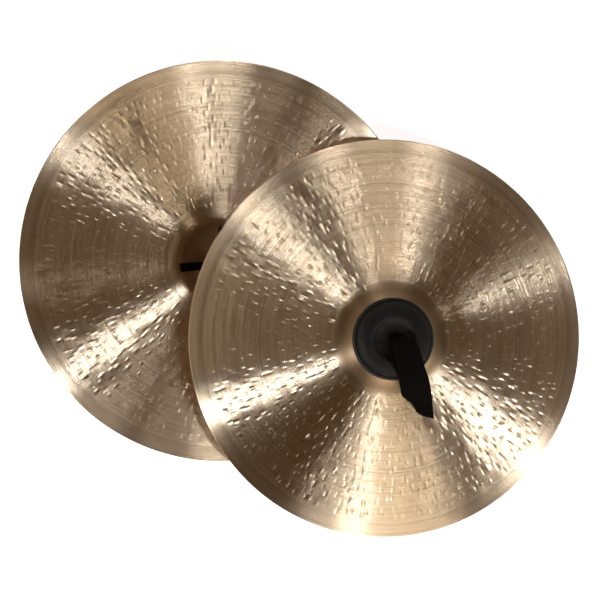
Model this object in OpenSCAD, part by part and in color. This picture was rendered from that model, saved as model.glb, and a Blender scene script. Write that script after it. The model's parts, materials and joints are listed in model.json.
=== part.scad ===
// Pair of hand cymbals with leather pads and straps, the front one lying on the rear one's rim

/* [Cymbal] */
// Diameter of each cymbal
cymbal_d = 457.2; // [410:0.1:510]
// Thickness of the bronze
sheet_t = 1.2; // [0.9:0.1:2]
// Rise of the bow's underside, from the rim plane to the axis
bow_rise = 20.6; // [16:0.1:26]
// Height from the rim plane to the top of the bell
cymbal_h = 41.5; // [38:0.5:46]
// Radius of the bell's round top
bell_r = 74; // [68:0.5:82]
// Radius of the fillet between bell and bow
bell_fillet = 14; // [8:0.5:20]
// Diameter of the strap hole
hole_d = 13; // [10:0.1:16]

/* [Pad] */
// Diameter of the pad
pad_d = 93.5; // [84:0.5:98]
// Radius of the pad's hollow underside
pad_dish_r = 110; // [95:1:140]
// Radius of the pad's crest, where it stands highest
crest_r = 32; // [28:0.5:36]
// Height of the crest above the top of the bell
crest_h = 6.25; // [5:0.05:9]
// Thickness of the pad round the strap hole
pad_floor_t = 1.7; // [1.2:0.1:2.5]
// Width of the sewn edge
seam_w = 3.8; // [2:0.1:5]
// Thickness of the sewn edge
seam_t = 3; // [2:0.1:4]
// Depth of the groove inside the sewn edge
seam_groove = 0.8; // [0.3:0.1:1.5]

/* [Strap] */
// Width of the hand loop
strap_w = 32; // [24:0.5:36]
// Width of the strap where it enters the pad
root_w = 20; // [14:0.5:24]
// Length over which the strap widens from the root
taper_l = 24; // [16:0.5:30]
// Thickness of the leather
strap_t = 2.2; // [1.5:0.1:2.8]
// Gap between the loop's two layers
layer_gap = 0.5; // [0.3:0.1:1]
// Length of the loop from its hinge to its end
loop_l = 94; // [84:1:110]
// Radius of the loop's bend over the pad's edge
droop_r = 30; // [20:1:40]
// Width of each tail
tail_w = 9; // [5:0.5:11]
// Distance from the axis to a tail's end
tail_reach = 47; // [38:0.5:49]
// Side of the square knot
knot_w = 24; // [20:0.5:28]
// Thickness of the knot
knot_t = 7; // [5:0.5:10]

/* [How the pair lies] */
// Front cymbal's centre, to the right of the rear one's
front_dx = 190.2; // [170:0.1:210]
// Front cymbal's centre, behind the rear one's
front_dy = -89.9; // [-110:0.1:-70]
// Lean of the front cymbal, its right side down
front_lean = 8.3; // [7:0.1:9.5]
// Direction of the front loop
front_loop_turn = -72; // [-100:1:-40]
// Turn of the tails from the loop's direction
tail_turn = 40; // [0:1:90]
// Gap between pieces that move on each other
run_gap = 0.3; // [0.2:0.05:0.5]

/* [Hidden] */
$fn = 96;
bronze = [0.57, 0.47, 0.35];
pad_black = [0.13, 0.13, 0.12];
strap_black = [0.05, 0.04, 0.03];
// Points along each round stretch of an outline
arc_steps = 12;
// Passes of each search and of the settling of the rear cymbal
search_passes = 40;
settle_passes = 8;
// Length added to a cutting shape so that it passes its piece
cut_extra = 10;

// Cymbal's section: bow and bell are parts of two spheres on the axis, joined by a fillet
rim_r = cymbal_d / 2;
hole_r = hole_d / 2;
bow_in_r = (rim_r * rim_r + bow_rise * bow_rise) / (2 * bow_rise);
bow_r = bow_in_r + sheet_t;
bow_z = bow_rise - bow_in_r;
bell_z = cymbal_h - bell_r;
fillet_z = (bow_z * bow_z - bell_z * bell_z - pow(bow_r + bell_fillet, 2) + pow(bell_r + bell_fillet, 2))
    / (2 * (bow_z - bell_z));
fillet_x = sqrt(pow(bell_r + bell_fillet, 2) - pow(fillet_z - bell_z, 2));
bell_foot_a = atan2(fillet_x, fillet_z - bell_z);
bow_foot_a = atan2(fillet_x, fillet_z - bow_z);
rim_edge_t = bow_z + sqrt(bow_r * bow_r - rim_r * rim_r);

// Pad's section
pad_r = pad_d / 2;
pad_z = cymbal_h + run_gap - pad_dish_r;
crest_z = cymbal_h + crest_h;
pad_floor_z = pad_under(hole_r) + pad_floor_t;
seam_r = pad_r - seam_w;
seam_z = pad_under(seam_r) + seam_t - seam_groove;

// Strap's stack of two layers, its neck and its knot under the bell
stack = 2 * strap_t + layer_gap;
neck_r = hole_r - run_gap;
bell_in_r = bell_r - sheet_t - run_gap;
knot_z = bell_z + sqrt(bell_in_r * bell_in_r - knot_w * knot_w / 2);

// Rear cymbal leans so that its rim meets the front one's at the two places where they cross
front_z = rim_r * sin(front_lean);
rear_slope = settle([0, 0], settle_passes);
rear_lean = atan(norm(rear_slope));
rear_low = atan2(-rear_slope.y, -rear_slope.x);
rear_z = rear_height(rear_slope);

// Loop's hinge: the rear loop lies flat on the surface that the pair stands on
hinge_z = crest_z + crest_r * tan(rear_lean) - stack / 2 / cos(rear_lean);
loop_straight = crest_r + stack;
front_droop = droop_angle(0, 80, search_passes);

// Middle of the pair's plan
rear_normal = [sin(rear_lean) * cos(rear_low), sin(rear_lean) * sin(rear_low), cos(rear_lean)];
front_normal = [sin(front_lean), 0, cos(front_lean)];
left_x = -reach(rear_normal.x) - max(0, rim_edge_t * rear_normal.x);
right_x = front_dx + reach(front_normal.x) + max(0, rim_edge_t * front_normal.x);
back_y = reach(rear_normal.y) + max(0, -rim_edge_t * rear_normal.y);
near_y = front_dy - reach(front_normal.y);
middle = [(left_x + right_x) / 2, (back_y + near_y) / 2, 0];

function sphere_z(r, centre_z, x) = centre_z + sqrt(r * r - x * x);
function pad_under(x) = sphere_z(pad_dish_r, pad_z, x);
function bow_top(x) = sphere_z(bow_r, bow_z, x);
function reversed(list) = [for (i = [len(list) - 1 : -1 : 0]) list[i]];

// Arc of a section, by angles from the upward axis
function arc(centre, r, from, to) =
    [for (i = [0 : arc_steps]) let (a = from + (to - from) * i / arc_steps) centre + r * [sin(a), cos(a)]];

// One face of the cymbal, from the hole to the rim, at a depth below its top face
function cymbal_face(depth) = concat(
    arc([0, bell_z], bell_r - depth, asin(hole_r / (bell_r - depth)), bell_foot_a),
    arc([fillet_x, fillet_z], -(bell_fillet + depth), bell_foot_a, bow_foot_a),
    arc([0, bow_z], bow_r - depth, bow_foot_a, asin(rim_r / (bow_r - depth)))
);

// Pad's top face: a dip at the hole, the crest, then a round fall to the sewn edge
function pad_face() = concat(
    [for (i = [0 : arc_steps])
        let (u = i / arc_steps)
        [hole_r + (crest_r - hole_r) * u, pad_floor_z + (crest_z - pad_floor_z) * (1 - cos(180 * u)) / 2]],
    [for (i = [1 : arc_steps])
        let (a = 90 * i / arc_steps)
        [crest_r + (seam_r - crest_r) * sin(a), seam_z + (crest_z - seam_z) * cos(a)]],
    [[seam_r, pad_under(seam_r) + seam_t], [pad_r, pad_under(pad_r) + seam_t]]
);

// Plan distance from a tilted rim's centre to its edge along one axis
function reach(normal) = rim_r * sqrt(1 - normal * normal);

// A point of the front rim in plan, and the height of its rim plane there
function front_rim(a) = [front_dx + rim_r * cos(front_lean) * cos(a), front_dy + rim_r * sin(a)];
function front_plane(p) = front_z - tan(front_lean) * (p.x - front_dx);

// Angle on the front rim where it passes over the rear rim, between a place inside it and one outside
function crossing(inside, outside, slope, passes) =
    let (a = (inside + outside) / 2, p = front_rim(a), out = p * p + pow(slope * p, 2) > rim_r * rim_r)
    passes == 0 ? a : out ? crossing(inside, a, slope, passes - 1) : crossing(a, outside, slope, passes - 1);

// Height of the rear rim's centre when its pad stands on the low side of the crest
function rear_height(slope) = let (a = atan(norm(slope))) crest_z * cos(a) + crest_r * sin(a);

// Slope of the rear rim that brings it just under the front rim at both crossings
function settle(slope, passes) =
    passes == 0 ? slope :
    let (
        p = front_rim(crossing(180, 0, slope, search_passes)),
        q = front_rim(crossing(180, 360, slope, search_passes)),
        rise_p = front_plane(p) - run_gap - rear_height(slope),
        rise_q = front_plane(q) - run_gap - rear_height(slope),
        det = p.x * q.y - p.y * q.x
    )
    settle([rise_p * q.y - rise_q * p.y, p.x * rise_q - q.x * rise_p] / det, passes - 1);

// Loop's middle line from the hinge, as points with their heading: straight, bent over, straight again
function loop_line(droop) =
    let (
        bend_l = droop_r * droop * PI / 180,
        bent = [loop_straight + droop_r * sin(droop), -droop_r * (1 - cos(droop))],
        last = loop_l - stack / 2 - loop_straight - bend_l
    )
    concat(
        [[0, 0, 0]],
        [for (i = [0 : arc_steps])
            let (a = droop * i / arc_steps)
            if (droop > 0 || i == 0) [loop_straight + droop_r * sin(a), -droop_r * (1 - cos(a)), -a]],
        [[bent.x + last * cos(droop), bent.y - last * sin(droop), -droop]]
    );

// Gap between the loop's end and the bow when the loop bends by an angle
function end_gap(droop) =
    let (
        line = loop_line(droop),
        end = line[len(line) - 1],
        x = end.x * cos(rear_lean) - end.y * sin(rear_lean),
        z = hinge_z + end.x * sin(rear_lean) + end.y * cos(rear_lean)
    )
    z - stack / 2 - bow_top(x);

// Bend that lays the loop's end on the bow
function droop_angle(low, high, passes) =
    let (a = (low + high) / 2)
    passes == 0 ? a :
    end_gap(a) > run_gap ? droop_angle(a, high, passes - 1) : droop_angle(low, a, passes - 1);

function beside(s, offset) = [s.x - offset * sin(s.z), s.y + offset * cos(s.z)];

// Half a turn round a point of a line, clockwise from an angle
function round_end(s, half, from) =
    [for (i = [1 : arc_steps - 1])
        let (a = from - 180 * i / arc_steps)
        [s.x + half * cos(a), s.y + half * sin(a)]];

// A band along a line of points with headings, round at both ends
module band(line, half) {
    start = line[0];
    end = line[len(line) - 1];
    polygon(concat(
        [for (s = line) beside(s, half)],
        round_end(end, half, end.z + 90),
        [for (s = reversed(line)) beside(s, -half)],
        round_end(start, half, start.z - 90)
    ));
}

module cymbal() {
    rotate_extrude() polygon(concat(cymbal_face(0), reversed(cymbal_face(sheet_t))));
}

// The strap presses a channel into the pad where it lies over the crest
module pad() {
    under = arc([0, pad_z], pad_dish_r, asin(pad_r / pad_dish_r), asin(hole_r / pad_dish_r));
    difference() {
        rotate_extrude() polygon(concat(pad_face(), under));
        at_hinge() strap_block(-stack / 2 - run_gap, run_gap);
    }
}

// Loop's frame: its hinge at the origin, the strap along X
module at_hinge() {
    translate([0, 0, hinge_z]) rotate([0, -rear_lean, 0]) children();
}

// Plan of the strap, widening from its root, with a margin round it
module strap_plan(margin) {
    polygon([for (side = [1, -1]) each
        let (
            root = [-stack, side * (root_w / 2 + margin)],
            wide = [taper_l, side * (strap_w / 2 + margin)],
            end = [loop_l, side * (strap_w / 2 + margin)]
        )
        side > 0 ? [root, wide, end] : [end, wide, root]]);
}

// All the room above a level over the strap's plan
module strap_block(level, margin) {
    translate([0, 0, level]) linear_extrude(2 * loop_l) strap_plan(margin);
}

module strap_loop(droop) {
    line = loop_line(droop);
    slot = concat([[taper_l / 2, 0, 0]], [for (i = [1 : len(line) - 1]) line[i]]);
    at_hinge() intersection() {
        rotate([90, 0, 0]) linear_extrude(strap_w + cut_extra, center = true) {
            difference() {
                band(line, stack / 2);
                band(slot, layer_gap / 2);
            }
        }
        strap_block(-loop_l, 0);
    }
}

module strap_neck() {
    translate([0, 0, knot_z]) cylinder(r = neck_r, h = hinge_z - stack / 2 - run_gap - knot_z);
}

module strap_knot() {
    translate([-knot_w / 2, -knot_w / 2, knot_z - knot_t]) cube([knot_w, knot_w, knot_t]);
}

// Four tails run from the knot's sides against the inside of the bell, each beside the axis
module strap_tails() {
    for (q = [0 : 3]) rotate(90 * q) intersection() {
        translate([0, 0, bell_z]) difference() {
            sphere(bell_in_r);
            sphere(bell_in_r - strap_t);
        }
        translate([knot_w / 2, -tail_w, bell_z]) cube([tail_reach - knot_w / 2, tail_w, bell_r]);
    }
}

module place_rear() {
    translate([0, 0, rear_z] - middle) rotate([0, rear_lean, rear_low]) rotate([180, 0, 0]) children();
}

module place_front() {
    translate([front_dx, front_dy, front_z] - middle) rotate([0, front_lean, 0]) children();
}

// The rear strap lies toward the cymbal's high side
module turn_rear() {
    place_rear() rotate(180) children();
}

module turn_front() {
    place_front() rotate(front_loop_turn) children();
}

module rear_cymbal() {
    color(bronze) place_rear() cymbal();
}

module rear_pad() {
    color(pad_black) turn_rear() pad();
}

module rear_strap_loop() {
    color(strap_black) turn_rear() strap_loop(0);
}

module rear_strap_neck() {
    color(strap_black) turn_rear() strap_neck();
}

module rear_strap_knot() {
    color(strap_black) turn_rear() rotate(tail_turn) strap_knot();
}

module rear_strap_tails() {
    color(strap_black) turn_rear() rotate(tail_turn) strap_tails();
}

module front_cymbal() {
    color(bronze) place_front() cymbal();
}

module front_pad() {
    color(pad_black) turn_front() pad();
}

module front_strap_loop() {
    color(strap_black) turn_front() strap_loop(front_droop);
}

module front_strap_neck() {
    color(strap_black) turn_front() strap_neck();
}

module front_strap_knot() {
    color(strap_black) turn_front() rotate(tail_turn) strap_knot();
}

module front_strap_tails() {
    color(strap_black) turn_front() rotate(tail_turn) strap_tails();
}

rear_cymbal();
rear_pad();
rear_strap_loop();
rear_strap_neck();
rear_strap_knot();
rear_strap_tails();
front_cymbal();
front_pad();
front_strap_loop();
front_strap_neck();
front_strap_knot();
front_strap_tails();
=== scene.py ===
"""Looks of a pair of hand cymbals: hammered bronze, padded leather discs and leather straps."""

import json
import math

import bpy
import numpy as np
from mathutils import Matrix, Vector


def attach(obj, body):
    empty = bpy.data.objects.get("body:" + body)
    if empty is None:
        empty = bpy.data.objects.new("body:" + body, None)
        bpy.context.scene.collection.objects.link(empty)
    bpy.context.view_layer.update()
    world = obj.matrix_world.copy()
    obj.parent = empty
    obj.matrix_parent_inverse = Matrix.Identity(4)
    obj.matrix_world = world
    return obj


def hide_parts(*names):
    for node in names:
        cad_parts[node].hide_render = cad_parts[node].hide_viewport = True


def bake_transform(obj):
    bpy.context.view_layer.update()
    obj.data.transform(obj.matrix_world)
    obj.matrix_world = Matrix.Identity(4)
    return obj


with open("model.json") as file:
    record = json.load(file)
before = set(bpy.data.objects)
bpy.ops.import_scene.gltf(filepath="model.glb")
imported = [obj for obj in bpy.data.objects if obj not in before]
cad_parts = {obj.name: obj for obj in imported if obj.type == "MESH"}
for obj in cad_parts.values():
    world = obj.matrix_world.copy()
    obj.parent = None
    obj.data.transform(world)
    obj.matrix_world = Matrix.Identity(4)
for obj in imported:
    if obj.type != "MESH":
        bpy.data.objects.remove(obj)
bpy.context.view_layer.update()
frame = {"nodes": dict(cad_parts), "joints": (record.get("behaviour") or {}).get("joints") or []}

# Sizes of the solids, in millimetres
MM = 0.001
RIM_R = 228.6
SHEET = 1.2
BOW_RISE = 20.6
CYMBAL_H = 41.5
BELL_R = 74.0
FILLET = 14.0
HOLE_R = 6.5
PAD_R = 46.75
PAD_DISH_R = 110.0
CREST_Z = 47.75
PAD_FLOOR_T = 1.7
SEAM_W = 3.8
SEAM_T = 3.0
STRAP_W = 32.0
LEATHER = 2.2
TAIL_W = 9.0
TAIL_REACH = 47.0
TAIL_TURN = math.radians(40)
RUN_GAP = 0.3

# Section of the cymbal: two spheres on the axis and a fillet between them
BOW_IN_R = (RIM_R**2 + BOW_RISE**2) / (2 * BOW_RISE)
BOW_R = BOW_IN_R + SHEET
BOW_Z = BOW_RISE - BOW_IN_R
BELL_Z = CYMBAL_H - BELL_R
BOW_OUT = BOW_R + FILLET
BELL_OUT = BELL_R + FILLET
FILLET_Z = (BOW_Z**2 - BELL_Z**2 - BOW_OUT**2 + BELL_OUT**2) / (2 * (BOW_Z - BELL_Z))
FILLET_X = math.sqrt(BELL_OUT**2 - (FILLET_Z - BELL_Z) ** 2)
BELL_FOOT = math.atan2(FILLET_X, FILLET_Z - BELL_Z)
BOW_FOOT = math.atan2(FILLET_X, FILLET_Z - BOW_Z)

JOINTS = {joint["name"]: joint for joint in frame["joints"]}
SIDES = ("rear", "front")


# Frames and meshes


def cymbal_frame(side):
    """Matrix from a cymbal's own frame to the pair's: rim at Z 0, bell toward +Z, strap toward +X."""
    turn = JOINTS[f"{side}_grip_turn"]
    hinge = Vector(turn["pos_m"])
    up = Vector(turn["axis"]).normalized()
    points = [vertex.co - hinge for vertex in frame["nodes"][f"{side}_cymbal"].data.vertices]
    if sum(point.dot(up) for point in points) > 0:
        up = -up
    centre = hinge + up * min(point.dot(up) for point in points)
    along = up.cross(Vector(JOINTS[f"{side}_loop_fold"]["axis"])).normalized()
    across = up.cross(along)
    return Matrix.Translation(centre) @ Matrix((along, across, up)).transposed().to_4x4()


def grid_faces(rows, columns, wrap_rows, wrap_columns):
    """Quads of a grid of vertices, row by row."""
    i = np.arange(rows if wrap_rows else rows - 1)
    j = np.arange(columns if wrap_columns else columns - 1)
    i, j = [a.ravel() for a in np.meshgrid(i, j, indexing="ij")]
    i2 = (i + 1) % rows
    j2 = (j + 1) % columns
    return np.stack([i * columns + j, i2 * columns + j, i2 * columns + j2, i * columns + j2], axis=1)


def add_piece(name, points, faces, place, material, uv=None):
    """A smooth mesh object from points in a cymbal's frame, in millimetres."""
    matrix = np.array(place)
    world = points.reshape(-1, 3) * MM @ matrix[:3, :3].T + matrix[:3, 3]
    mesh = bpy.data.meshes.new(name)
    mesh.from_pydata(world.tolist(), [], [list(map(int, face)) for face in faces])
    mesh.polygons.foreach_set("use_smooth", np.ones(len(mesh.polygons), bool))
    if uv is not None:
        layer = mesh.uv_layers.new(name="lathe")
        layer.data.foreach_set("uv", uv.astype(np.float32).ravel())
    mesh.update()
    piece = bpy.data.objects.new(name, mesh)
    bpy.context.scene.collection.objects.link(piece)
    mesh.materials.append(material)
    return piece


def set_values(piece, name, values, columns):
    """A value for each ring of a piece, kept on its vertices for the material."""
    layer = piece.data.attributes.new(name, "FLOAT", "POINT")
    layer.data.foreach_set("value", np.repeat(values, columns).astype(np.float32))


def smooth_step(t):
    """Smooth rise from 0 to 1, level at both ends."""
    t = np.clip(t, 0, 1)
    return t * t * (3 - 2 * t)


# Cymbals

COLUMNS = 1200
BELL_RINGS = 18
FILLET_RINGS = 12
RING_STEP = 1.4
RIM_ROUND = 0.25

# Hammer dents: where they lie, how far apart, how far off their rings' places, and their size and depth
HAMMERED_FROM = 64.0
HAMMERED_TO = 209.0
DENT_SPACING = 10.0
DENT_RING_SHARE = 0.9
DENT_OFF_TURN = 0.35
DENT_OFF_RING = 0.4
DENT_EDGE = 4.0
DENT_MISSING = 0.08
DENT_ACROSS = 0.92
DENT_ALONG = 2.0
DENT_SIZE = (0.75, 1.3)
DENT_DEPTH = (0.10, 0.34)
DENT_SIGNS = (-1, -1, -1, 1)
DENT_REACH = 3

# Lathe grooves, and slow warp of the sheet
GROOVES = (95.0, 111.0, 129.0, 149.0, 153.5, 178.0, 200.5, 213.5)
GROOVE_DEPTH = 0.05
GROOVE_HALF = 0.6
WARP_SLOPE = 0.018
WARP_WAVES = 40
WARP_LENGTH = (12, 60)
WARP_FADE = (20, 30)

# Where the raw bell gives way to the lathed bow, outside and inside
RAW_BELL = (57.2, 67.4)
RAW_INSIDE = (41.5, 51.0)


def face_stations():
    """Radius, height and slope angle of the top face, from the hole to the rim."""
    bell = np.linspace(math.asin(HOLE_R / BELL_R), BELL_FOOT, BELL_RINGS)
    fillet = np.linspace(BELL_FOOT, BOW_FOOT, FILLET_RINGS)[1:-1]
    first = BOW_R * math.sin(BOW_FOOT)
    rings = np.arange(first, RIM_R - RIM_ROUND, RING_STEP)
    cuts = [groove + side * GROOVE_HALF for groove in GROOVES for side in (-1, 0, 1)]
    rings = np.sort(np.concatenate([rings, cuts, [RIM_R - RIM_ROUND]]))
    bow = np.arcsin(rings / BOW_R)
    radius = np.concatenate([BELL_R * np.sin(bell), FILLET_X - FILLET * np.sin(fillet), rings])
    height = np.concatenate(
        [BELL_Z + BELL_R * np.cos(bell), FILLET_Z - FILLET * np.cos(fillet), BOW_Z + BOW_R * np.cos(bow)]
    )
    return radius, height, np.concatenate([bell, fillet, bow])


def hammer_field(radius, turn, seed):
    """Dents of the hammer and a slow warp of the sheet, as a rise of the sheet at each grid point."""
    random = np.random.default_rng(seed)
    field = np.zeros((len(radius), len(turn)))
    step = turn[1] - turn[0]
    for ring in np.arange(HAMMERED_FROM + DENT_SPACING / 2, HAMMERED_TO, DENT_SPACING * DENT_RING_SHARE):
        count = int(2 * math.pi * ring / DENT_SPACING)
        places = np.arange(count) + random.uniform(-DENT_OFF_TURN, DENT_OFF_TURN, count)
        places = places * 2 * math.pi / count
        for place in places + random.uniform(0, 2 * math.pi):
            r = ring + random.uniform(-DENT_OFF_RING, DENT_OFF_RING) * DENT_SPACING
            r = np.clip(r, HAMMERED_FROM, HAMMERED_TO - DENT_EDGE)
            depth = random.uniform(*DENT_DEPTH) * random.choice(DENT_SIGNS)
            depth *= random.random() > DENT_MISSING
            size = random.uniform(*DENT_SIZE)
            near = np.abs(radius - r) < DENT_REACH * DENT_ALONG * size
            reach = int(DENT_REACH * DENT_ACROSS * size / r / step) + 1
            middle = int(round(place / step))
            columns = np.arange(middle - reach, middle + reach + 1)
            along = np.exp(-0.5 * ((radius[near] - r) / (DENT_ALONG * size)) ** 2)
            across = np.exp(-0.5 * (r * (columns * step - place) / (DENT_ACROSS * size)) ** 2)
            field[np.ix_(near, columns % len(turn))] += depth * along[:, None] * across[None, :]
    x = radius[:, None] * np.cos(turn)[None, :]
    y = radius[:, None] * np.sin(turn)[None, :]
    fade = smooth_step((radius - HAMMERED_FROM) / WARP_FADE[0])
    fade = fade * smooth_step((RIM_R - radius) / WARP_FADE[1])
    for _ in range(WARP_WAVES):
        heading = random.uniform(0, 2 * math.pi)
        wave = 2 * math.pi / random.uniform(*WARP_LENGTH)
        phase = random.uniform(0, 2 * math.pi)
        warp = np.sin(wave * (x * math.cos(heading) + y * math.sin(heading)) + phase)
        field += WARP_SLOPE / wave * math.sqrt(2 / WARP_WAVES) * fade[:, None] * warp
    return field


def groove_cut(radius):
    """Depth of the lathe's grooves at each radius."""
    cut = np.zeros(len(radius))
    for groove in GROOVES:
        cut += GROOVE_DEPTH * np.clip(1 - np.abs(radius - groove) / GROOVE_HALF, 0, 1)
    return cut


def make_cymbal(side, place, material, seed):
    """The bronze plate: top face, rim and under face as one closed grid, with the radius as its U."""
    radius, height, slope = face_stations()
    turn = np.arange(COLUMNS) * 2 * math.pi / COLUMNS
    rise = hammer_field(radius, turn, seed)
    cut = groove_cut(radius)[:, None]
    outward = np.sin(slope)[:, None]
    upward = np.cos(slope)[:, None]

    def face(level):
        return radius[:, None] + outward * level, height[:, None] + upward * level

    top_r, top_z = face(rise - cut)
    under_r, under_z = face(rise - SHEET + cut)
    under_r[0] = HOLE_R
    edge_r = np.full((1, COLUMNS), RIM_R)
    edge_z = (top_z[-1:] + under_z[-1:]) / 2
    r = np.concatenate([top_r, edge_r, under_r[::-1]])
    z = np.concatenate([top_z, edge_z, under_z[::-1]])
    points = np.stack([r * np.cos(turn), r * np.sin(turn), z], axis=2)
    faces = grid_faces(len(r), COLUMNS, True, True)[:, ::-1]
    across = np.concatenate([radius, [RIM_R], radius[::-1]]) / RIM_R
    row = faces // COLUMNS
    column = faces % COLUMNS
    last = (column == 0) & (column.max(axis=1, keepdims=True) == COLUMNS - 1)
    uv = np.stack([across[row], np.where(last, COLUMNS, column) / COLUMNS], axis=2)
    piece = add_piece(f"{side}_cymbal_bronze", points, faces, place, material, uv)
    raw_top = np.interp(radius, RAW_BELL, (1, 0))
    raw_inside = np.interp(radius, RAW_INSIDE, (1, 0))
    set_values(piece, "bell", np.concatenate([raw_top, [0], raw_inside[::-1]]), COLUMNS)
    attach(piece, f"{side}_cymbal")
    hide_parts(f"{side}_cymbal")


# Pads

PAD_COLUMNS = 192
FACE_RINGS = 18
FLANK_RINGS = 16
UNDER_RINGS = 12
CRATER_R = 25.5
CRATER_AT = (0.5, -2.0)
CRATER_STEEP = 3.0
CRATER_FADE = 1.4
FLANK_FULL = 0.85
FLANK_SINK = 0.8
# Lighter colour towards the crest of the pad, a painted highlight
CREST_SHEEN = 0.35
CREASE_DEPTH = 1.6
CREASE_HALF = 0.2
PUCKERS = 11
PUCKER_SWAY = 0.7
PUCKER_DEPTH = 0.15
PAD_REST = 0.05

# Where the strap presses the pad down: past its edge, from this X outward, and the gap that stays
PRESS_EDGE = 0.6
PRESS_FROM = -3.0
PRESS_GAP = 0.15

# Sewn lip: distance out from the seam, lift over its plain thickness and share of the lighter colour
# painted on it as a highlight
LIP = (
    (0.25, -0.8, 0),
    (0.6, 0.1, 0.6),
    (1.2, 0.4, 1),
    (2.5, 0.4, 1),
    (3.4, 0, 0.8),
    (SEAM_W, -0.9, 0.3),
)


def pad_under(radius):
    """Height of the dished face that lies on the bell."""
    return CYMBAL_H + RUN_GAP - PAD_DISH_R + np.sqrt(PAD_DISH_R**2 - radius**2)


def pad_rings():
    """Radius, height, share of the crater's offset and share of the painted highlight of each ring, over
    the face and back under.
    """
    seam_r = PAD_R - SEAM_W
    floor_z = pad_under(HOLE_R) + PAD_FLOOR_T
    foot_z = pad_under(seam_r) + SEAM_T - FLANK_SINK
    rings = []
    for u in np.linspace(0, 1, FACE_RINGS):
        climb = (1 - math.cos(math.pi * u**CRATER_STEEP)) / 2
        r = HOLE_R + (CRATER_R - HOLE_R) * u
        rings.append((r, floor_z + (CREST_Z - floor_z) * climb, u, CREST_SHEEN * u**6))
    for a in np.linspace(0, math.pi / 2, FLANK_RINGS)[1:]:
        fall = math.cos(a) ** FLANK_FULL
        r = CRATER_R + (seam_r - CRATER_R) * math.sin(a)
        painted_sheen = CREST_SHEEN * max(0, 1 - 4 * a)
        rings.append((r, foot_z + (CREST_Z - foot_z) * fall, 1 - math.sin(a), painted_sheen))
    for out, lift, painted_sheen in LIP:
        r = seam_r + out
        rings.append((r, pad_under(r) + SEAM_T + lift, 0, painted_sheen))
    for r in np.linspace(PAD_R, HOLE_R, UNDER_RINGS):
        rings.append((r, pad_under(r) + PAD_REST, 0, 0))
    return np.array(rings)


def make_pad(side, place, material):
    """The padded disc: crater and crest with a crease behind, flank, sewn lip, and a bed for the strap."""
    radius, height, share, painted_sheen = pad_rings().T[:, :, None]
    turn = np.arange(PAD_COLUMNS) * 2 * math.pi / PAD_COLUMNS
    ring = np.arange(len(height))[:, None]
    face = ring < FACE_RINGS
    dressed = ring < FACE_RINGS + FLANK_RINGS - 1
    offset = smooth_step(CRATER_FADE * share)
    x = radius * np.cos(turn) + CRATER_AT[0] * offset
    y = radius * np.sin(turn) + CRATER_AT[1] * offset
    behind = np.abs(np.arctan2(np.sin(turn - math.pi), np.cos(turn - math.pi)))
    near_crest = np.where(dressed, share**2, 0)
    z = height - CREASE_DEPTH * near_crest * np.exp(-((behind / CREASE_HALF) ** 2))
    folds = np.sin(PUCKERS * turn + PUCKER_SWAY * np.sin(2 * turn)) * np.sin(math.pi * share) ** 2
    z = z + np.where(face, PUCKER_DEPTH * folds, 0)
    pressed = dressed & (np.abs(y) < STRAP_W / 2 + PRESS_EDGE) & (x > PRESS_FROM)
    limit = np.maximum(loop_underside(side, x) - PRESS_GAP, height[0])
    z = np.where(pressed, np.minimum(z, limit), z)
    faces = grid_faces(len(height), PAD_COLUMNS, True, True)[:, ::-1]
    piece = add_piece(f"{side}_pad_leather", np.stack([x, y, z], axis=2), faces, place, material)
    # Lighter colour painted on crest and lip as a highlight, kept on the vertices
    set_values(piece, "painted_sheen", painted_sheen[:, 0], PAD_COLUMNS)
    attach(piece, f"{side}_grip")
    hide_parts(f"{side}_pad")


# Straps

# Section of the leather: shares of its half width and half thickness, over one face and back on the other
SECTION_V = np.array([-1, -0.985, -0.93, *np.linspace(-0.8, 0.8, 9), 0.93, 0.985, 1])
SECTION_N = np.array([0.45, 0.9, *[1.0] * 11, 0.9, 0.45])
SECTION = np.concatenate(
    [np.stack([SECTION_V, SECTION_N], axis=1), np.stack([SECTION_V[::-1], -SECTION_N], axis=1)]
)

# Each hand loop: the line midway between its two layers (X, Z) from the hole outward, the middle of its
# outer and inner layer across that line (X, Y), the outline of its far end (share of the half width, X),
# and half the gap between the layers at the root and at the far end
LOOPS = {
    "front": {
        "line": [
            (0, 40), (-0.5, 43), (-2.0, 46.2), (-1.2, 49.2), (3.5, 51.2), (12, 51.8), (24, 51.5),
            (34, 50.8), (46, 47.6), (57, 41.2), (67, 33.8), (77, 27.8), (87, 24.2), (100, 22.8),
        ],
        "outer": [
            (-10, 1), (-4, 2), (4, 4), (10, 5.6), (17, 6.6), (33, 5.6), (45, 5.5), (60, 6), (80, 5.2),
            (100, 2),
        ],
        # Over the pad the inner layer sways to one side of the outer one, so its black leather also fills a
        # dark area beside the strap that is partly the strap's shadow
        "inner": [
            (-10, -1), (0, -1), (14, 0.5), (26, 2), (38, 4.5), (50, 5.6), (62, 6), (80, 5.2), (100, 2),
        ],
        "far_end": [(-1, 61), (-0.7, 67.5), (-0.38, 75), (-0.2, 84), (0.15, 90.5), (0.6, 95), (1, 98.5)],
        "gaps": (0.3, 1.4),
    },
    "rear": {
        "line": [
            (0, 40), (0.2, 43.5), (3, 46.8), (12, 48.2), (24, 49.0), (40, 50.1), (60, 51.3), (80, 52.2),
            (97, 53.0),
        ],
        "outer": [(-10, 0), (40, 0.8), (100, 0)],
        "inner": [(-10, 0), (40, -0.8), (100, 0)],
        "far_end": [(-1, 91), (0, 92), (1, 93)],
        "gaps": (0.3, 1.2),
    },
}

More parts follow.
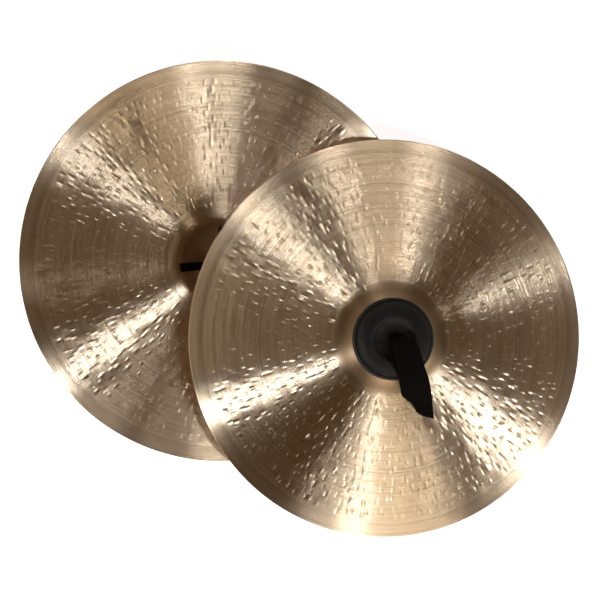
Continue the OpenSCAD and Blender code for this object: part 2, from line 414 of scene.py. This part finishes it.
# Width of a hand loop at each X along it, and of its end in the hole
LOOP_WIDTHS = [
    (-10, 11), (-4, 13), (0, 17), (8, 23.5), (16, 28.6), (30, 30.3), (45, 32), (60, 34), (80, 33.5),
    (102, 33),
]
NECK_WIDTH = 7.4
IN_HOLE_X = 6.0
IN_HOLE_Z = 46.5
IN_HOLE_FADE = 4.0
GAP_OPENS = 0.45
LOOP_STEPS = 70
BEND_STEPS = 12
LINE_POINTS = 400
CURVE_POINTS = 300
PIECE_POINTS = 40


def curve_through(points, count):
    """Evenly spaced points along a smooth curve through a few chosen ones."""
    points = np.asarray(points, float)
    ends = np.concatenate([2 * points[:1] - points[1:2], points, 2 * points[-1:] - points[-2:-1]])
    t = np.linspace(0, 1, PIECE_POINTS, endpoint=False)[:, None]
    pieces = []
    for a, b, c, d in zip(ends, ends[1:], ends[2:], ends[3:]):
        bend = (2 * a - 5 * b + 4 * c - d) * t**2 + (3 * b - a - 3 * c + d) * t**3
        pieces.append(0.5 * (2 * b + (c - a) * t + bend))
    dense = np.concatenate([*pieces, points[-1:]])
    length = np.concatenate([[0], np.cumsum(np.linalg.norm(np.diff(dense, axis=0), axis=1))])
    at = np.linspace(0, length[-1], count)
    return np.stack([np.interp(at, length, column) for column in dense.T], axis=1)


def height_of(curve, at):
    """Second coordinate of a chosen curve at given values of the first."""
    line = curve_through(curve, CURVE_POINTS)
    return np.interp(at, line[:, 0], line[:, 1])


def loop_underside(side, x):
    """Height of the strap's face next to the pad."""
    line = curve_through(LOOPS[side]["line"], CURVE_POINTS)
    forward = np.maximum.accumulate(line[:, 0])
    return np.interp(x, forward, line[:, 1]) - LOOPS[side]["gaps"][0] - LEATHER


def band_faces(steps):
    """Faces of a closed band: its sides and its two cut ends."""
    section = np.arange(len(SECTION))
    faces = grid_faces(steps, len(SECTION), False, True).tolist()
    faces.append(section[::-1].tolist())
    faces.append((section + (steps - 1) * len(SECTION)).tolist())
    return faces


def make_loop(side, place, material):
    """The hand loop: one band out along the line, round its far end and back under itself."""
    shape = LOOPS[side]
    line = curve_through(shape["line"], LINE_POINTS)
    heading = np.gradient(line, axis=0)
    heading /= np.linalg.norm(heading, axis=1, keepdims=True)
    station = np.linspace(0, 1, LINE_POINTS)
    leg = np.linspace(0, 1, LOOP_STEPS)
    bend = np.linspace(0, math.pi, BEND_STEPS + 2)[1:-1]
    along = np.concatenate([leg, np.ones(BEND_STEPS), leg[::-1]])
    around = np.concatenate([np.zeros(LOOP_STEPS), bend, np.full(LOOP_STEPS, math.pi)])
    cos, sin = np.cos(around)[:, None], np.sin(around)[:, None]
    v, n = SECTION[:, 0][None, :], SECTION[:, 1][None, :]
    reach = np.interp(height_of(shape["far_end"], v), np.maximum.accumulate(line[:, 0]), station)
    at = along[:, None] * reach
    x, z = [np.interp(at, station, line[:, k]) for k in (0, 1)]
    hx, hz = [np.interp(at, station, heading[:, k]) for k in (0, 1)]
    root_gap, end_gap = shape["gaps"]
    opened = smooth_step((along - GAP_OPENS) / (1 - GAP_OPENS))[:, None]
    half_gap = root_gap + (end_gap - root_gap) * opened
    out = half_gap + LEATHER / 2 * (1 + n)
    outer_share = (1 + cos) / 2
    sway = outer_share * height_of(shape["outer"], x) + (1 - outer_share) * height_of(shape["inner"], x)
    in_hole = np.where(x < IN_HOLE_X, smooth_step((IN_HOLE_Z - z) / IN_HOLE_FADE), 0)
    width = height_of(LOOP_WIDTHS, x) * (1 - in_hole) + NECK_WIDTH * in_hole
    px = x + out * (-hz * cos + hx * sin)
    py = v * width / 2 + sway * (1 - in_hole)
    pz = z + out * (hx * cos + hz * sin)
    points = np.stack([px, py, pz], axis=2)
    piece = add_piece(f"{side}_strap_loop_leather", points, band_faces(len(along)), place, material)
    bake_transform(piece)
    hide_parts(f"{side}_strap_loop")


# Tails along the inside of the bell: each one's bend to the side and the length cut off its end
TAIL_STEPS = 40
TAIL_FROM = 2.0
TAIL_OFF_AXIS = 0.25
TAIL_FLARE = 1.08
TAIL_BENDS = (-5.0, 8.0, -2.0, 3.0)
TAIL_CUTS = (1.0, 8.0, 2.0, 4.0)

# How far the knot holds the tails off the bell, and to what distance from the axis
HELD_OFF = 1.2
HELD_TO = 16
HELD_FADE = 8

# Strands of the knot: where each starts, its run, its arch over the next one and its slow climb
KNOT_Z = 38.0
STRAND_W = 9.5
STRAND_STEPS = 28
STRAND_FROM = -10.0
STRAND_RUN = 21.5
STRAND_OFF_AXIS = 0.4
STRAND_LOW = 1.6
STRAND_ARCH = 4.2
STRAND_TUCK = 1.12
STRAND_ROUND = 0.8
STRAND_CLIMB = 0.5

# Bundle of leather in the hole
NECK_COLUMNS = 48
NECK_RINGS = 10
NECK_BELOW = 3
NECK_TOP = 44.2
NECK_R = 5.4
NECK_BULGE = 0.7
NECK_ROUND = 0.7


def ribbon(centres, width, sideways, lifted):
    """Grid of a flat band: its middle points, its width, the direction across it and out of its face."""
    v, n = SECTION[:, 0], SECTION[:, 1]
    across = v[None, :, None] * width / 2 * sideways[:, None, :]
    return centres[:, None, :] + across + n[None, :, None] * LEATHER / 2 * lifted[:, None, :]


def four_bands(name, make_band, place, material):
    """Four copies of a band, a quarter turn apart round the axis, as one mesh."""
    points, faces = [], []
    for q in range(4):
        a = TAIL_TURN + q * math.pi / 2
        turn = np.array([[math.cos(a), -math.sin(a), 0], [math.sin(a), math.cos(a), 0], [0, 0, 1]])
        band = make_band(q)
        start = sum(len(p) for p in points)
        faces += [[index + start for index in face] for face in band_faces(len(band))]
        points.append((band @ turn.T).reshape(-1, 3))
    return add_piece(name, np.concatenate(points), faces, place, material)


def tail_band(q):
    """A tail along the inside of the bell, beside the axis, from under the knot to its cut end."""
    inside = BELL_R - SHEET - RUN_GAP - LEATHER / 2
    x = np.linspace(TAIL_FROM, TAIL_REACH - TAIL_CUTS[q], TAIL_STEPS)
    y = -TAIL_W / 2 - TAIL_OFF_AXIS + TAIL_BENDS[q] * (x / TAIL_REACH) ** 2
    z = BELL_Z + np.sqrt(inside**2 - x**2 - y**2)
    z = z - HELD_OFF * smooth_step((HELD_TO - x) / HELD_FADE)
    centres = np.stack([x, y, z], axis=1)
    normal = centres - np.array([0, 0, BELL_Z])
    normal /= np.linalg.norm(normal, axis=1, keepdims=True)
    side = np.cross(normal, np.gradient(centres, axis=0))
    side /= np.linalg.norm(side, axis=1, keepdims=True)
    return ribbon(centres, TAIL_FLARE * TAIL_W, side, normal)


def knot_band(_):
    """One strand of the knot: it leaves the hole, arches over its neighbour and tucks under the next."""
    t = np.linspace(0, 1, STRAND_STEPS)
    x = STRAND_FROM + STRAND_RUN * t
    y = np.full_like(t, -TAIL_W / 2 - STRAND_OFF_AXIS)
    arch = np.sin(math.pi * np.clip(t * STRAND_TUCK, 0, 1)) ** STRAND_ROUND
    z = KNOT_Z - STRAND_LOW - STRAND_ARCH * arch + STRAND_CLIMB * (t - 0.5)
    centres = np.stack([x, y, z], axis=1)
    ahead = np.gradient(centres, axis=0)
    ahead /= np.linalg.norm(ahead, axis=1, keepdims=True)
    side = np.tile(np.array([[0.0, 1.0, 0.0]]), (STRAND_STEPS, 1))
    return ribbon(centres, STRAND_W, side, np.cross(ahead, side))


def make_neck(side, place, material):
    """The bundle of leather that passes through the hole."""
    turn = np.arange(NECK_COLUMNS) * 2 * math.pi / NECK_COLUMNS
    heights = np.linspace(KNOT_Z - NECK_BELOW, NECK_TOP, NECK_RINGS)[:, None]
    radius = NECK_R + NECK_BULGE * np.abs(np.sin(2 * turn)) ** NECK_ROUND
    grid = np.broadcast_arrays(radius * np.cos(turn), radius * np.sin(turn), heights)
    faces = grid_faces(NECK_RINGS, NECK_COLUMNS, False, True)[:, ::-1].tolist()
    end = np.arange(NECK_COLUMNS)
    faces += [end.tolist(), (end[::-1] + (NECK_RINGS - 1) * NECK_COLUMNS).tolist()]
    return add_piece(f"{side}_strap_neck_leather", np.stack(grid, axis=2), faces, place, material)


def make_tie(side, place, material):
    """Knot, tails and neck: the end of the strap inside the bell."""
    knot = four_bands(f"{side}_strap_knot_leather", knot_band, place, material)
    tails = four_bands(f"{side}_strap_tails_leather", tail_band, place, material)
    neck = make_neck(side, place, material)
    for piece, node in ((knot, "strap_knot"), (tails, "strap_tails"), (neck, "strap_neck")):
        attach(piece, f"{side}_grip")
        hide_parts(f"{side}_{node}")


# Materials


def new_material(name):
    """A material with nodes: itself, its nodes and its links."""
    material = bpy.data.materials.new(name)
    material.use_nodes = True
    return material, material.node_tree.nodes, material.node_tree.links


def add_node(nodes, kind, **values):
    """A shader node with its settings and constant inputs."""
    made = nodes.new(kind)
    for key, value in values.items():
        if hasattr(made, key):
            setattr(made, key, value)
        else:
            made.inputs[key].default_value = value
    return made


def math_node(nodes, links, operation, first, second):
    """Result of a calculation with two values, each a socket or a constant."""
    made = nodes.new("ShaderNodeMath")
    made.operation = operation
    for socket, value in zip(made.inputs, (first, second)):
        if isinstance(value, (int, float)):
            socket.default_value = value
        else:
            links.new(value, socket)
    return made.outputs[0]


def ramp_node(nodes, links, source, stops):
    """Colour that follows a value through a few stops."""
    made = nodes.new("ShaderNodeValToRGB")
    links.new(source, made.inputs["Fac"])
    elements = made.color_ramp.elements
    elements[0].position, elements[0].color = stops[0]
    elements[1].position, elements[1].color = stops[-1]
    for position, color in stops[1:-1]:
        elements.new(position).color = color
    return made.outputs["Color"]


def mix_colors(nodes, links, share, first, second):
    """Two colours mixed by a share, each a socket or a constant."""
    made = nodes.new("ShaderNodeMix")
    made.data_type = "RGBA"
    links.new(share, made.inputs["Factor"])
    for socket, color in zip((made.inputs[6], made.inputs[7]), (first, second)):
        if isinstance(color, tuple):
            socket.default_value = color
        else:
            links.new(color, socket)
    return made.outputs[2]


def grey(value):
    return (value, value, value, 1)


BRONZE_LIGHT = (0.80, 0.57, 0.345, 1)
BRONZE_DARK = (0.70, 0.475, 0.265, 1)
BELL_BROWN = (0.56, 0.345, 0.17, 1)
# Darker brown along the middle of each lathe groove, and its share
GROOVE_BROWN = (0.30, 0.17, 0.075, 1)
GROOVE_DARKENING = 0.45
LATHED_ROUGH = 0.30
BELL_ROUGH = 0.66
BAND_ROUGH = 0.06

# Lathe lines across the radius: how steep, and the noise of the fine lines, the broad bands and the tarnish
LATHE_SLOPE = 3.8
FINE_LINES = {"Scale": 1100.0, "Detail": 1.0, "Roughness": 0.5}
BROAD_BANDS = {"Scale": 46.0, "Detail": 4.0, "Roughness": 0.65}
TARNISH = {"Scale": 26.0, "Detail": 4.0, "Roughness": 0.55}
BAND_SHARE = 0.85
TARNISH_SHARE = 0.25
TONE_STOPS = (0.35, 0.72)


def bronze_tone(nodes, links, radius, bands, bell):
    """Colour of the bronze: bands and tarnish, the raw bell, and a darker brown along the grooves."""
    place = nodes.new("ShaderNodeTexCoord").outputs["Object"]
    tarnish = add_node(nodes, "ShaderNodeTexNoise", **TARNISH)
    links.new(place, tarnish.inputs["Vector"])
    banded = math_node(nodes, links, "MULTIPLY", bands, BAND_SHARE)
    tone = math_node(nodes, links, "MULTIPLY", tarnish.outputs["Fac"], TARNISH_SHARE)
    tone = math_node(nodes, links, "ADD", tone, banded)
    color = ramp_node(nodes, links, tone, list(zip(TONE_STOPS, (BRONZE_DARK, BRONZE_LIGHT))))
    color = mix_colors(nodes, links, bell, color, BELL_BROWN)
    lines = [(0, grey(0))]
    for groove in GROOVES:
        for side in (-1, 0, 1):
            darkening = grey(GROOVE_DARKENING * (1 - abs(side)))
            lines.append(((groove + side * GROOVE_HALF) / RIM_R, darkening))
    return mix_colors(nodes, links, ramp_node(nodes, links, radius, lines), color, GROOVE_BROWN)


def lathed_normal(nodes, links, radius, tangent, bell):
    """Surface direction, tilted along the radius by the fine lines of the lathe outside the raw bell."""
    fine = add_node(nodes, "ShaderNodeTexNoise", noise_dimensions="1D", **FINE_LINES)
    links.new(radius, fine.inputs["W"])
    lathed = math_node(nodes, links, "SUBTRACT", 1.0, bell)
    slope = math_node(nodes, links, "SUBTRACT", fine.outputs["Fac"], 0.5)
    slope = math_node(nodes, links, "MULTIPLY", slope, LATHE_SLOPE)
    slope = math_node(nodes, links, "MULTIPLY", slope, lathed)
    tilt = add_node(nodes, "ShaderNodeVectorMath", operation="SCALE")
    links.new(tangent, tilt.inputs[0])
    links.new(slope, tilt.inputs["Scale"])
    normal = add_node(nodes, "ShaderNodeVectorMath", operation="ADD")
    links.new(nodes.new("ShaderNodeNewGeometry").outputs["Normal"], normal.inputs[0])
    links.new(tilt.outputs[0], normal.inputs[1])
    unit = add_node(nodes, "ShaderNodeVectorMath", operation="NORMALIZE")
    links.new(normal.outputs[0], unit.inputs[0])
    return unit.outputs[0]


def bronze_material():
    """Lathed bronze: gloss spread along the radius, with a rougher, browner bell."""
    material, nodes, links = new_material("hammered_bronze")
    shader = nodes["Principled BSDF"]
    shader.inputs["Metallic"].default_value = 1.0
    shader.inputs["Anisotropic"].default_value = 1.0
    tangent = add_node(nodes, "ShaderNodeTangent", direction_type="UV_MAP", uv_map="lathe").outputs[0]
    links.new(tangent, shader.inputs["Tangent"])
    split = nodes.new("ShaderNodeSeparateXYZ")
    links.new(add_node(nodes, "ShaderNodeUVMap", uv_map="lathe").outputs[0], split.inputs[0])
    radius = split.outputs["X"]
    noise = add_node(nodes, "ShaderNodeTexNoise", noise_dimensions="1D", **BROAD_BANDS)
    links.new(radius, noise.inputs["W"])
    bands = noise.outputs["Fac"]
    bell = add_node(nodes, "ShaderNodeAttribute", attribute_name="bell").outputs["Fac"]
    links.new(bronze_tone(nodes, links, radius, bands, bell), shader.inputs["Base Color"])
    rough = math_node(nodes, links, "MULTIPLY", bands, BAND_ROUGH)
    rough = math_node(nodes, links, "ADD", rough, LATHED_ROUGH)
    raw = math_node(nodes, links, "MULTIPLY", bell, BELL_ROUGH - LATHED_ROUGH)
    links.new(math_node(nodes, links, "ADD", rough, raw), shader.inputs["Roughness"])
    links.new(lathed_normal(nodes, links, radius, tangent, bell), shader.inputs["Normal"])
    return material


# Leather: tint of its gloss, size of the mottling in grains and its noise, stops of its colours, spread of
# its roughness, and heights of mottling and grain in the bump
LEATHER_TINT = (1.0, 0.82, 0.62, 1)
MOTTLE_GRAINS = 9
MOTTLE = {"Detail": 5.0, "Roughness": 0.6}
MOTTLE_STOPS = (0.3, 0.75)
ROUGH_SPREAD = 0.2
MOTTLE_HEIGHT = 1.5
GRAIN_HEIGHT = 2.0
BUMP_STRENGTH = 0.35


def leather_material(name, dark, light, sheen_color, rough, grain, depth, shine):
    """Grained leather; where the mesh has a painted-highlight value, its colour goes toward the lighter
    highlight colour.
    """
    material, nodes, links = new_material(name)
    shader = nodes["Principled BSDF"]
    shader.inputs["Specular IOR Level"].default_value = shine
    shader.inputs["Specular Tint"].default_value = LEATHER_TINT
    place = nodes.new("ShaderNodeTexCoord").outputs["Object"]
    cells = add_node(nodes, "ShaderNodeTexVoronoi", feature="DISTANCE_TO_EDGE", Scale=grain)
    links.new(place, cells.inputs["Vector"])
    noise = add_node(nodes, "ShaderNodeTexNoise", Scale=grain / MOTTLE_GRAINS, **MOTTLE)
    links.new(place, noise.inputs["Vector"])
    mottle = noise.outputs["Fac"]
    color = ramp_node(nodes, links, mottle, list(zip(MOTTLE_STOPS, (dark, light))))
    # Share of the painted highlight on the mesh
    painted_sheen = add_node(nodes, "ShaderNodeAttribute", attribute_name="painted_sheen").outputs["Fac"]
    links.new(mix_colors(nodes, links, painted_sheen, color, sheen_color), shader.inputs["Base Color"])
    roughness = math_node(nodes, links, "MULTIPLY", mottle, ROUGH_SPREAD)
    roughness = math_node(nodes, links, "ADD", roughness, rough - ROUGH_SPREAD / 2)
    links.new(roughness, shader.inputs["Roughness"])
    grained = math_node(nodes, links, "MULTIPLY", cells.outputs["Distance"], GRAIN_HEIGHT)
    height = math_node(nodes, links, "MULTIPLY", mottle, MOTTLE_HEIGHT)
    height = math_node(nodes, links, "ADD", height, grained)
    bump = add_node(nodes, "ShaderNodeBump", Strength=BUMP_STRENGTH, Distance=depth)
    links.new(height, bump.inputs["Height"])
    links.new(bump.outputs[0], shader.inputs["Normal"])
    return material


bronze = bronze_material()
pad_leather = leather_material(
    "pad_leather",
    dark=(0.0060, 0.0052, 0.0040, 1),
    light=(0.0105, 0.0092, 0.0072, 1),
    # Lighter colour painted on the pad's crest and lip as a highlight
    sheen_color=(0.016, 0.0155, 0.012, 1),
    rough=0.5,
    grain=900,
    depth=0.0003,
    shine=0.11,
)
strap_leather = leather_material(
    "strap_leather",
    dark=(0.0020, 0.0014, 0.0008, 1),
    light=(0.0045, 0.0032, 0.0020, 1),
    sheen_color=(0.006, 0.0045, 0.003, 1),
    rough=0.85,
    grain=700,
    depth=0.0005,
    shine=0.03,
)

FIRST_SEED = 11
for index, side in enumerate(SIDES):
    place = cymbal_frame(side)
    make_cymbal(side, place, bronze, FIRST_SEED + index)
    make_pad(side, place, pad_leather)
    make_loop(side, place, strap_leather)
    make_tie(side, place, strap_leather)


# Stage: floor, world, lamps and camera, in metres

FLOOR_SIZE = 60.0
FLOOR_Z = -0.0004
FLOOR_GLOW = 0.6
FLOOR_TONE = 0.82
FLOOR_ROUGH = 0.9
WORLD_COLOR = (1.0, 0.72, 0.44, 1)
WORLD_STRENGTH = 0.075

# Strip lamps round the pair: azimuth and height in degrees, wide and tall side, watts and colour
COOL = (0.82, 1.0, 1.32)
PLAIN = (0.88, 1.0, 1.22)
SOFT = (0.97, 1.0, 1.02)
LAMPS = (
    (-148, 32, 0.22, 0.6, 27.0, COOL),
    (-149.5, 32, 0.56, 0.6, 12.0, PLAIN),
    (-92, 32, 0.40, 0.6, 5.0, PLAIN),
    (-80, 32, 0.30, 0.6, 17.0, PLAIN),
    (-69, 32, 0.40, 0.6, 7.0, SOFT),
    (-58, 32, 0.44, 0.6, 5.5, SOFT),
    (-29.5, 32, 0.22, 0.6, 13.0, COOL),
    (-30, 32, 0.62, 0.6, 9.0, PLAIN),
    (15, 32, 0.20, 0.6, 1.6, PLAIN),
    (58, 32, 0.40, 0.6, 4.5, PLAIN),
    (74, 32, 0.30, 0.6, 2.5, PLAIN),
    (88, 32, 0.36, 0.6, 9.5, PLAIN),
    (96, 32, 0.30, 0.6, 1.8, PLAIN),
    (126, 32, 0.34, 0.6, 5.0, SOFT),
    (170, 10, 2.40, 1.0, 22.0, SOFT),
)
LAMP_FAR = 2.5

# Camera straight above the pair, as far as the photograph's perspective says
CAMERA_AT = (-0.00443, -0.00085, 1.783)
CAMERA_LENS = 91.3
CAMERA_SENSOR = 36.0
CAMERA_CLIP = (0.01, 50)


def make_floor():
    """A pale floor that looks white and keeps the pair's shadow."""
    material, nodes, links = new_material("floor_white")
    shader = nodes["Principled BSDF"]
    shader.inputs["Base Color"].default_value = grey(FLOOR_TONE)
    shader.inputs["Roughness"].default_value = FLOOR_ROUGH
    shader.inputs["Emission Color"].default_value = grey(1)
    path = nodes.new("ShaderNodeLightPath").outputs
    seen = math_node(nodes, links, "MAXIMUM", path["Is Camera Ray"], path["Is Glossy Ray"])
    seen = math_node(nodes, links, "MAXIMUM", seen, path["Is Transmission Ray"])
    glow = math_node(nodes, links, "MULTIPLY", seen, FLOOR_GLOW)
    links.new(glow, shader.inputs["Emission Strength"])
    mesh = bpy.data.meshes.new("floor")
    half = FLOOR_SIZE / 2
    corners = [(-half, -half), (half, -half), (half, half), (-half, half)]
    mesh.from_pydata([(x, y, FLOOR_Z) for x, y in corners], [], [(0, 1, 2, 3)])
    mesh.materials.append(material)
    floor = bpy.data.objects.new("floor", mesh)
    bpy.context.scene.collection.objects.link(floor)


def make_world():
    """A faint warm room all round."""
    world = bpy.data.worlds.new("studio")
    world.use_nodes = True
    background = world.node_tree.nodes["Background"]
    background.inputs["Color"].default_value = WORLD_COLOR
    background.inputs["Strength"].default_value = WORLD_STRENGTH
    bpy.context.scene.world = world


def make_lamps():
    """The strip lamps, each facing the middle of the floor."""
    for number, (azimuth, height, wide, tall, watts, color) in enumerate(LAMPS):
        a, e = math.radians(azimuth), math.radians(height)
        toward = Vector((math.cos(a) * math.cos(e), math.sin(a) * math.cos(e), math.sin(e)))
        lamp = bpy.data.lights.new(f"softbox_{number}", "AREA")
        lamp.shape = "RECTANGLE"
        lamp.size, lamp.size_y = wide, tall
        lamp.energy = watts
        lamp.color = color
        box = bpy.data.objects.new(f"softbox_{number}", lamp)
        box.location = toward * LAMP_FAR
        box.rotation_mode = "QUATERNION"
        box.rotation_quaternion = toward.to_track_quat("Z", "Y")
        bpy.context.scene.collection.objects.link(box)


def make_camera():
    camera = bpy.data.cameras.new("camera")
    camera.sensor_width = CAMERA_SENSOR
    camera.lens = CAMERA_LENS
    camera.clip_start, camera.clip_end = CAMERA_CLIP
    view = bpy.data.objects.new("camera", camera)
    view.location = CAMERA_AT
    bpy.context.scene.collection.objects.link(view)
    bpy.context.scene.camera = view


make_floor()
make_world()
make_lamps()
make_camera()
bpy.context.scene.view_settings.view_transform = "Standard"
